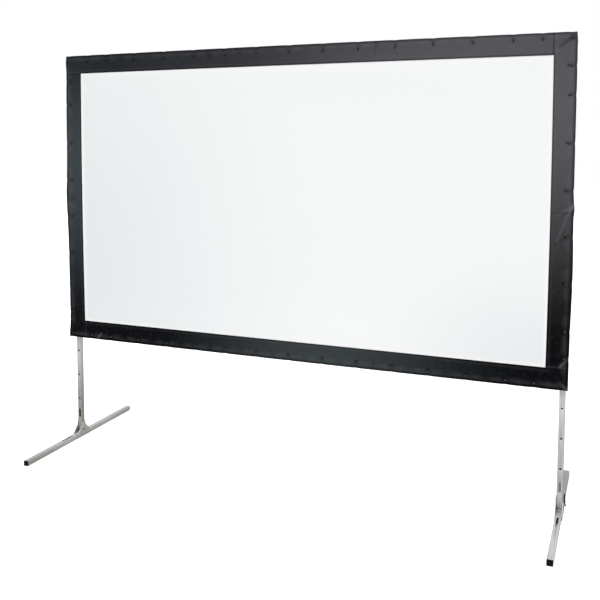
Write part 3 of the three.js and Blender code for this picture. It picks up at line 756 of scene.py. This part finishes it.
def edge_pull(x, z):
    """How far the cloth's edges are moved along X and Z, in mm: in at the snaps, out at the hinges."""
    half_width, half_height = FABRIC_WIDTH / 2, FABRIC_HEIGHT / 2
    pull, pull_width, edge_reach = 1.6, 16, 26
    near_x = falloff(half_width - np.abs(x), edge_reach)
    near_z = falloff(half_height - np.abs(z - half_height), edge_reach)
    out_x, out_z = np.zeros_like(x), np.zeros_like(x)
    for snap_x, snap_z, way_x, way_z in border_snaps():
        if way_x:
            out_x += way_x * pull * falloff(z - snap_z, pull_width) * near_x * (x * snap_x > 0)
        else:
            here = near_z * ((z - half_height) * way_z < 0)
            out_z += way_z * pull * falloff(x - snap_x, pull_width) * here
    for side, height, out, width in BULGES:
        out_x += side * out * falloff(z - height, width) * near_x * (x * side > 0)
    # The lower left corner stands out to the left
    out_x -= 9 * falloff(np.hypot(x + half_width, z), 70)
    # The hem stands out a few mm past the tubes, most where the cloth bows at mid-height
    bow_x = np.sin(np.pi * np.clip(x / FABRIC_WIDTH + 0.5, 0, 1))
    bow_z = np.sin(np.pi * np.clip(z / FABRIC_HEIGHT, 0, 1))
    left_hem = 5.5 + 4 * bow_z + 9 * falloff(z - 930, 190) - 5 * falloff(z - FABRIC_HEIGHT, 200)
    right_hem = 2 + 1.5 * bow_z + 6 * falloff(z - 620, 260) - 6 * falloff(z - FABRIC_HEIGHT, 70)
    low_hem = 3.4 - 1.2 * x / half_width + 1.5 * bow_x
    hem_x = falloff(half_width - np.abs(x), HEM_REACH)
    hem_z = falloff(half_height - np.abs(z - half_height), HEM_REACH)
    out_x += np.where(x < 0, -left_hem, right_hem) * hem_x
    out_z += np.where(z < half_height, -low_hem, 4.5 + 3 * bow_x) * hem_z
    # The window's sides and top bow out with it
    window_x = falloff(BORDER - half_width + np.abs(x), WINDOW_REACH)
    window_z = falloff(BORDER - FABRIC_HEIGHT + z, WINDOW_REACH)
    out_x += np.where(x < 0, -6.5, 4.5) * bow_z * window_x
    out_z += (2.5 + 2.5 * bow_x) * window_z
    return out_x, out_z


def sheet_grid(name, columns, rows):
    """A flat grid ready to be laid out, and how far along and up each of its corners is, 0 to 1."""
    bpy.ops.object.select_all(action="DESELECT")
    bpy.ops.mesh.primitive_grid_add(x_subdivisions=columns, y_subdivisions=rows, size=1)
    obj = bpy.context.object
    obj.name = name
    places = np.empty(len(obj.data.vertices) * 3, np.float32)
    obj.data.vertices.foreach_get("co", places)
    places = places.reshape(-1, 3).astype(float)
    return obj, places[:, 0] + 0.5, places[:, 1] + 0.5


def lay_out(obj, x, y, z, **values):
    """Puts a grid's corners at their places, in mm, and keeps a value at each corner for the material."""
    places = np.stack([x, y, z], 1) * MM
    obj.data.vertices.foreach_set("co", places.ravel().astype(np.float32))
    for name, value in values.items():
        obj.data.attributes.new(name, "FLOAT", "POINT").data.foreach_set("value", value.astype(np.float32))


def border_strip(name, span_x, span_z, lift):
    """One of the four cloth strips of the border, lift being how far it stands in front of its neighbours."""
    columns = round((span_x[1] - span_x[0]) / CLOTH_CELL)
    rows = round((span_z[1] - span_z[0]) / CLOTH_CELL)
    obj, along, up = sheet_grid(name, columns, rows)
    x = span_x[0] + along * (span_x[1] - span_x[0])
    z = span_z[0] + up * (span_z[1] - span_z[0])
    relief, crease, puff = border_relief(x, z)
    lifted = lift * ramp(BORDER - inward(x, z), 4, 10)
    out_x, out_z = edge_pull(x, z)
    lay_out(obj, x + out_x, FABRIC_FRONT - relief - lifted, z + out_z + FABRIC_LOW,
            crease=crease, puff=puff)
    thicken(obj, BORDER_THICK)
    return obj


def thicken(obj, thickness):
    activate(obj)
    solid = obj.modifiers.new("Solidify", "SOLIDIFY")
    solid.thickness = thickness * MM
    solid.offset = -1
    bpy.ops.object.modifier_apply(modifier=solid.name)
    open_mesh(obj, "FACE")
    bpy.ops.mesh.select_all(action="SELECT")
    bpy.ops.mesh.normals_make_consistent(inside=False)
    close_mesh()
    bpy.ops.object.shade_smooth_by_angle(angle=math.radians(45))


def stretched_surface():
    """The white sheet behind the window, drawn tight, with a brighter welded edge."""
    lap = SURFACE_LAP
    width, height = FABRIC_WIDTH - 2 * BORDER + 2 * lap, FABRIC_HEIGHT - 2 * BORDER + 2 * lap
    columns, rows = 200, 114
    obj, along, up = sheet_grid("white_sheet", columns, rows)
    x = (along - 0.5) * width
    z = up * height
    edge = np.minimum(width / 2 - np.abs(x), height / 2 - np.abs(z - height / 2))
    # Hangs back a millimetre or two away from its edges, in slow waves
    hold = ramp(edge, 30, 260)
    sag = hold * (1.5 + 0.8 * np.sin(x / 260 + 0.5) * np.sin(z / 190) + 0.5 * np.sin(x / 610 - z / 330))
    lay_out(obj, x, SURFACE_FRONT + sag, z + FABRIC_LOW + BORDER - lap, edge=1 - ramp(edge, 18, 34))
    thicken(obj, SURFACE_THICK)
    return obj


def snap_cap():
    """One snap's cap: a low dome with a rolled rim."""
    rim, slope, dip = 1.4, 1.6, 0.3
    cap = round_bar("snap_cap", "y", SNAP_RADIUS, -SNAP_HEIGHT, BORDER_THICK / 2, (0, 0), sides=20)
    open_mesh(cap, "FACE")
    pick_faces(cap, lambda middle, normal: normal.y < -0.9)
    bpy.ops.mesh.inset(thickness=rim * MM)
    bpy.ops.transform.translate(value=(0, dip * MM, 0))
    bpy.ops.mesh.inset(thickness=slope * MM)
    bpy.ops.transform.translate(value=(0, -dip * MM, 0))
    close_mesh()
    activate(cap)
    bpy.ops.object.shade_smooth_by_angle(angle=math.radians(60))
    return cap


tubes = [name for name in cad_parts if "_rail_tube_" in name or "_side_tube_" in name]
first = snap_cap()
caps = [copied(first, "cap", (x, FABRIC_FRONT, z + FABRIC_LOW)) for x, z, _, _ in border_snaps()]
bpy.data.objects.remove(first)
snaps = joined("snap_caps", *caps)
dress(snaps, PLASTIC, "root", "black_plastic")

# The border is four strips laid round the window like the sails of a pinwheel
STRIPS = {
    "bottom": ((-SEAM_X, EDGE_X), (0, BORDER), 0.7), "top": ((-EDGE_X, SEAM_X), (SEAM_Z, FABRIC_HEIGHT), 0.7),
    "left": ((-EDGE_X, -SEAM_X), (0, SEAM_Z), 0), "right": ((SEAM_X, EDGE_X), (BORDER, FABRIC_HEIGHT), 0),
}
for place, (span_x, span_z, lift) in STRIPS.items():
    strip = border_strip("border_strip_" + place, span_x, span_z, lift)
    dress(strip, CLOTH, "root", "border_fabric", "masking_border")

sheet = stretched_surface()
dress(sheet, VINYL, "root", "white_vinyl", "projection_surface")


# Legs. The right leg is modelled, and its twin is its mirror image.

def upright():
    obj = square_tube("upright", "z", UPRIGHT_LOW, UPRIGHT_TOP, (LEG_X, 0))
    near, far = LEG_X - CUT_REACH, LEG_X + CUT_REACH
    # A block below the pivot less a round bar is what has to go for the rounded end
    block, block_low = 30, 10
    heel = cuboid("heel", (LEG_X - block, -block, block_low), (LEG_X + block, block, PIVOT_Z))
    carve(heel, round_bar("end", "x", END_RADIUS, near, far, (0, PIVOT_Z), 64))
    carve(obj, heel)
    heights = [FIRST_HOLE + i * HOLE_PITCH for i in range(HOLES)]
    cutters = [round_bar("hole", "y", HOLE_RADIUS, -CUT_REACH, CUT_REACH, (LEG_X, height), 24)
               for height in heights]
    half = SLOT_WIDTH / 2
    slot = cuboid("slot", (LEG_X - half, -CUT_REACH, SLOT_LOW), (LEG_X + half, 0, SLOT_HIGH))
    round_edges(slot, lambda middle, way: abs(way.y) > 0.9, half - 0.01, 8)
    pivot = round_bar("bore", "x", PIVOT_BORE, near, far, (0, PIVOT_Z), 24)
    detent = round_bar("detent", "x", DETENT_RADIUS, LEG_X, far, (LEVER_Y, DETENT_Z), 24)
    carve(obj, *cutters, slot, pivot, detent)
    return soften(obj, 0.35, 1, 50)


def foot_bar():
    obj = square_tube("foot_bar", "y", -FOOT_END, FOOT_END, (LEG_X, HALF))
    near, far = FOOT_SLOT
    half = FOOT_SLOT_WIDTH / 2
    slot = cuboid("slot", (LEG_X - half, near, HALF), (LEG_X + half, far, TUBE + 9))
    round_edges(slot, lambda middle, way: abs(way.z) > 0.9, half - 0.01, 8)
    return soften(carve(obj, slot), 0.35, 1, 50)


def tube_plug(axis, face, outwards, across, flange):
    """A moulded tube plug: flange with a shallow recess, and a stem that goes into the tube."""
    i = "xyz".index(axis)
    rim, slope, recess = 3.5, 1.2, 0.9
    start, end = sorted((face, face + outwards * flange))
    obj = square_bar("plug", axis, start, end, across)
    open_mesh(obj, "FACE")
    pick_faces(obj, lambda middle, normal: normal[i] * outwards > 0.9)
    bpy.ops.mesh.inset(thickness=rim * MM)
    bpy.ops.mesh.inset(thickness=slope * MM)
    shift = [0, 0, 0]
    shift[i] = -outwards * recess * MM
    bpy.ops.transform.translate(value=shift)
    pick_faces(obj, lambda middle, normal: normal[i] * outwards < -0.9)
    bpy.ops.mesh.inset(thickness=(WALL + CONTACT_GAP) * MM)
    shift[i] = -outwards * CAP_STEM * MM
    bpy.ops.mesh.extrude_region_move(TRANSFORM_OT_translate={"value": shift})
    close_mesh()
    return soften(round_long_corners(obj, axis, across), 0.5, 2, 50)


def lobed_knob(height, radius, lobe_angle):
    """A six-lobed hand knob: a disc with its rim drawn into lobes, dished at the back, on a short hub."""
    rim, slope, dish = 3, 1.5, 2
    hub_radius, boss_radius = 12, 8.5
    start = KNOB_BACK + KNOB_HUB
    grip = round_bar("knob", "y", radius, start, start + KNOB_GRIP, (LEG_X, height), KNOB_CORNERS)
    open_mesh(grip, "VERT")
    lobe = KNOB_CORNERS / KNOB_LOBES
    for step in range(int(lobe / 2) + 1):
        # The rim's corners that stand so many steps from the tip of a lobe, at all the lobes at once
        mesh = bmesh.from_edit_mesh(grip.data)
        for corner in mesh.verts:
            turn = math.atan2(corner.co.z - height * MM, corner.co.x - LEG_X * MM)
            steps = turn / (2 * math.pi) * KNOB_CORNERS
            corner.select_set(abs(abs((steps + lobe / 2) % lobe - lobe / 2) - step) < 0.01)
        bmesh.update_edit_mesh(grip.data)
        size = 1 + KNOB_LOBE / radius * math.cos(2 * math.pi * step / lobe)
        bpy.ops.transform.resize(value=(size, 1, size), center_override=metres(LEG_X, start, height))
    bpy.ops.mesh.select_all(action="SELECT")
    bpy.ops.transform.rotate(value=math.radians(lobe_angle), orient_axis="Y",
                             center_override=metres(LEG_X, start, height))
    close_mesh()
    open_mesh(grip, "FACE")
    pick_faces(grip, lambda middle, normal: normal.y > 0.9)
    bpy.ops.mesh.inset(thickness=rim * MM)
    bpy.ops.mesh.inset(thickness=slope * MM)
    bpy.ops.transform.translate(value=(0, -dish * MM, 0))
    close_mesh()
    soften(grip, 1.6, 3, 55)
    end = start + KNOB_GRIP
    hub = round_bar("hub", "y", hub_radius, KNOB_BACK, start + 2, (LEG_X, height), 40)
    boss = round_bar("boss", "y", boss_radius, end - 4, end - 0.2, (LEG_X, height))
    soften(hub, 0.8, 2)
    soften(boss, 0.8, 2)
    return joined("knob", grip, hub, boss)


def hex_bolt():
    """The foot's pivot: bolt head and washer outside, hexagon nut and washer inside."""
    reach = GUSSET_FACE + CONTACT_GAP
    out, inn = LEG_X + reach, LEG_X - reach
    shank, washer, head, nut = 4, 7.5, 6.6, 6.8
    washer_thick, head_end, nut_end = 1.2, 4, 3.9
    place = (0, PIVOT_Z)
    parts = [
        round_bar("shank", "x", shank, inn - 4, out + 1, place, 24),
        round_bar("washer", "x", washer, out, out + washer_thick, place, 36),
        round_bar("washer", "x", washer, inn - washer_thick, inn, place, 36),
        round_bar("head", "x", head, out + washer_thick, out + head_end, place, 36),
        round_bar("nut", "x", nut, inn - nut_end, inn - washer_thick, place, 6),
    ]
    for part in parts:
        soften(part, 0.45, 2)
    return joined("pivot_bolt", *parts)


def slot_button():
    """The black button of the foot's catch, sitting over the slot in the foot bar's top."""
    place = (LEG_X, FOOT_BUTTON_Y)
    half = FOOT_SLOT_WIDTH / 2
    lap, rise = 2.5, 3
    disc = soften(round_bar("button", "z", half + lap, TUBE, TUBE + rise, place, 28), 0.8, 3)
    stem = round_bar("stem", "z", half - 0.4, TUBE - WALL - 3, TUBE + 0.5, place, 24)
    return joined("slot_button", disc, stem)


def rubber_buffer():
    """A round rubber buffer on a gusset's inner face, just in front of the upright. Its black is partly
    painted shade, standing for the dark gap between the upright and the gussets.
    """
    radius, length = 4.5, 7
    start = LEG_X - HALF - CONTACT_GAP
    return soften(round_bar("buffer", "x", radius, start, start + length, (-22, 46), 28), 1.2, 3)


def gusset_web():
    """The casting's low web across the front of the upright's rounded end, from gusset to gusset."""
    half = HALF + 0.2
    front, back, rise = -21.5, -17.4, 9
    web = cuboid("web", (LEG_X - half, front, TUBE + 0.1), (LEG_X + half, back, TUBE + rise))
    return soften(web, 1.2, 3)


def slot_slide():
    """The grey slide inside the upright that fills the slot's opening when its catch is up."""
    face = -HALF + WALL + SLIDE_CLEAR
    slide = cuboid("slide", (LEG_X - SLIDE_HALF, face, SLOT_LOW - SLIDE_LAP),
                   (LEG_X + SLIDE_HALF, face + SLIDE_THICK, SLOT_HIGH + SLIDE_LAP))
    return soften(slide, 0.6, 2)


def foot_slide():
    """A grey slide inside the foot bar, under the near part of the slot in its top."""
    near = FOOT_SLOT[0]
    top = TUBE - WALL - SLIDE_CLEAR
    slide = cuboid("slide", (LEG_X - SLIDE_HALF, near - SLIDE_LAP, top - SLIDE_THICK),
                   (LEG_X + SLIDE_HALF, near + FOOT_SLIDE_REACH, top))
    return soften(slide, 0.6, 2)


def rivet(axis, outwards, spot):
    """A domed rivet head on a face: its spot, and the way that it stands out."""
    i = "xyz".index(axis)
    sunk, top_share = 0.6, 0.62
    across = [v for k, v in enumerate(spot) if k != i]
    face = spot[i]
    start, end = sorted((face - outwards * sunk, face + outwards * RIVET_RISE))
    obj = round_bar("rivet", axis, RIVET_RADIUS, start, end, across, 20)
    open_mesh(obj, "FACE")
    pick_faces(obj, lambda middle, normal: normal[i] * outwards > 0.9)
    bpy.ops.transform.resize(value=[top_share if k != i else 1 for k in range(3)])
    close_mesh()
    return soften(obj, 0.5, 2, 30)


both_sides(upright(), "{}_upright", TUBE_FINISH["z"], "root", "anodised_tube", "{}_leg_upright")
both_sides(foot_bar(), "{}_foot_bar", TUBE_FINISH["y"], "{}_foot", "anodised_tube", "{}_leg_foot_bar")
for side, way in (("left", -1), ("right", 1)):
    darken_inside(bpy.data.objects[side + "_upright"], "z", (way * LEG_X, 0))
    darken_inside(bpy.data.objects[side + "_foot_bar"], "y", (way * LEG_X, HALF))
for place, way, tint, slot in (("front", -1, DULL_PLASTIC, "black_plastic"),
                               ("rear", 1, GREY_PLASTIC, "grey_plastic")):
    cap = tube_plug("y", way * (FOOT_CAP_END - CAP_FLANGE), way, (LEG_X, HALF), CAP_FLANGE)
    both_sides(cap, "{}_foot_cap_" + place, tint, "{}_foot", slot, "{}_leg_foot_cap_" + place)
top_cap = tube_plug("z", UPRIGHT_TOP + CONTACT_GAP, 1, (LEG_X, 0), CAP_FLANGE)
both_sides(top_cap, "{}_upright_cap", PLASTIC, "root", "black_plastic", "{}_leg_upright_cap")
both_sides(hex_bolt(), "{}_pivot_bolt", ZINC, "{}_foot", "zinc_steel", "{}_leg_pivot_bolt")

both_sides(slot_button(), "{}_slot_button", PLASTIC, "{}_foot", "black_plastic")
# The buffer sits on the same hand of both legs, so it isn't mirrored. Only the right leg's catch is up.
dress(rubber_buffer(), RUBBER, "right_foot", "black_plastic").name = "right_foot_buffer"
left_buffer = copied(bpy.data.objects["right_foot_buffer"], "left_foot_buffer", (-2 * LEG_X, 0, 0))
dress(left_buffer, RUBBER, "left_foot", "black_plastic")
dress(slot_slide(), DARK_GREY_PLASTIC, "root", "grey_plastic").name = "right_slot_slide"
dress(foot_slide(), DARK_GREY_PLASTIC, "right_foot", "grey_plastic").name = "right_foot_slide"

for place, height in CLAMPS.items():
    both_sides(lobed_knob(height, *KNOBS[place]), "{}_knob_" + place, PLASTIC, "{}_knob_" + place,
               "black_plastic", "{}_leg_knob_" + place)
    stud = soften(round_bar("stud", "y", 4, STUD_TIP[place], KNOB_BACK + 1, (LEG_X, height), 24), 0.6, 2)
    both_sides(stud, "{}_stud_" + place, THREAD, "{}_knob_" + place, "zinc_steel")
    collar = from_cad(f"right_leg_clamp_{place}", "collar", 1.0, 3)
    both_sides(collar, "{}_clamp_" + place, COATED, "root", "black_steel", "{}_leg_clamp_" + place)

for plate in ("inner", "outer"):
    gusset = from_cad(f"right_leg_gusset_{plate}", "gusset", 0.8, 3)
    both_sides(gusset, "{}_gusset_" + plate, CAST, "{}_foot", "cast_aluminium", "{}_leg_gusset_" + plate)
both_sides(from_cad("right_leg_lock_lever", "lever", 0.7, 3), "{}_lock_lever", COATED, "{}_lever",
           "black_steel", "{}_leg_lock_lever")

both_sides(gusset_web(), "{}_gusset_web", CAST, "{}_foot", "cast_aluminium")
for side in ("left", "right"):
    # The cheeks that carry the lever are given the lever's black coat
    coat(bpy.data.objects[side + "_gusset_outer"], COATED,
         lambda middle, normal: abs(middle.x) > LEG_X + GUSSET_FACE + 0.5)
foot_rivets = [rivet("x", 1, (LEG_X + GUSSET_FACE, y, RIVET_Z)) for y in GUSSET_RIVETS]
foot_rivets += [rivet("x", -1, (LEG_X - GUSSET_FACE, y, RIVET_Z)) for y in GUSSET_RIVETS]
foot_rivets += [rivet("z", 1, (LEG_X, y, TUBE)) for y in FOOT_TOP_RIVETS]
both_sides(joined("rivets", *foot_rivets), "{}_gusset_rivets", ZINC, "{}_foot", "zinc_steel")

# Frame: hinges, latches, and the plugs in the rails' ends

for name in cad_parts:
    if "_hinge_" in name:
        dress(from_cad(name, name.replace("_half", "_leaf"), 0.4, 2), ZINC, "root", "zinc_steel", name)
both_sides(from_cad("right_latch_base", "latch", 0.4, 2), "{}_latch_plate", ZINC, "root", "zinc_steel",
           "{}_latch_base")
both_sides(from_cad("right_latch_hook", "hook", 0.6, 2), "{}_latch_bar", COATED, "{}_hook", "black_steel",
           "{}_latch_hook")
for level, height in (("bottom", BOTTOM_RAIL), ("top", TOP_RAIL)):
    plug = tube_plug("x", RAIL_END + 0.1, 1, (FRAME_Y, height), RAIL_PLUG_FLANGE)
    both_sides(plug, "{}_" + level + "_rail_plug", PLASTIC, "root", "black_plastic")

for name in tubes:
    axis = "x" if "_rail_" in name else "z"
    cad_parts[name].data.materials.clear()
    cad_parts[name].data.materials.append(TUBE_FINISH[axis])


# Floor, backdrop and lights

def make_floor():
    bpy.ops.object.select_all(action="DESELECT")
    # 60 m wide, and half a millimetre under the feet so that the two faces don't fight
    bpy.ops.mesh.primitive_plane_add(size=60, location=(0, 0, -0.5 * MM))
    floor = settle("floor")
    made, tree, shader = material("pale_floor", "#D2D2D0", 0.9, specular=0.1)
    mottle = node(tree, "ShaderNodeTexNoise", links={"Vector": place_in(tree, (3, 3, 3))}, Scale=1, Detail=3)
    tree.links.new(blend_colours(tree, mottle.outputs[0], "#D0D0CE", "#D5D5D3"), shader.inputs["Base Color"])
    # The camera sees the pale floor lifted to the backdrop's white, and reflections see it lifted a little
    path = node(tree, "ShaderNodeLightPath")
    direct = ranged(tree, path.outputs["Is Camera Ray"], 0, 1, 0, 0.8, smooth=False)
    reflected = ranged(tree, path.outputs["Is Glossy Ray"], 0, 1, 0, 0.1, smooth=False)
    lift = node(tree, "ShaderNodeMath", {"operation": "MAXIMUM"}, {0: direct, 1: reflected})
    shader.inputs["Emission Color"].default_value = (1, 1, 1, 1)
    tree.links.new(lift.outputs[0], shader.inputs["Emission Strength"])
    floor.data.materials.append(made)


def make_world():
    world = bpy.data.worlds.new("studio")
    scene.world = world
    world.use_nodes = True
    tree = world.node_tree
    background = tree.nodes["Background"]
    background.inputs["Color"].default_value = (1, 1, 1, 1)
    path = node(tree, "ShaderNodeLightPath")
    seen = node(tree, "ShaderNodeMath", {"operation": "MAXIMUM"},
                {0: path.outputs["Is Camera Ray"], 1: path.outputs["Is Glossy Ray"]})
    seen = node(tree, "ShaderNodeMath", {"operation": "MAXIMUM"},
                {0: seen.outputs[0], 1: path.outputs["Is Transmission Ray"]})
    strength = ranged(tree, seen.outputs[0], 0, 1, 0.35, 1.0, smooth=False)
    tree.links.new(strength, background.inputs["Strength"])


def make_lamp(name, towards, strength, softness):
    """A far, wide studio lamp: the way to it, its light on a face turned to it, and its spread."""
    data = bpy.data.lights.new(name, "SUN")
    data.energy = strength
    data.angle = math.radians(softness)
    obj = bpy.data.objects.new(name, data)
    scene.collection.objects.link(obj)
    obj.rotation_euler = Vector(towards).to_track_quat("Z", "Y").to_euler()


make_floor()
make_world()
make_lamp("key", (-0.4, -0.8, 1.2), 2.15, 50)
make_lamp("fill", (0.7, -0.6, 1.0), 0.4, 60)
make_lamp("back", (0.5, 0.9, 1.1), 0.7, 60)

scene.view_settings.view_transform = "Standard"
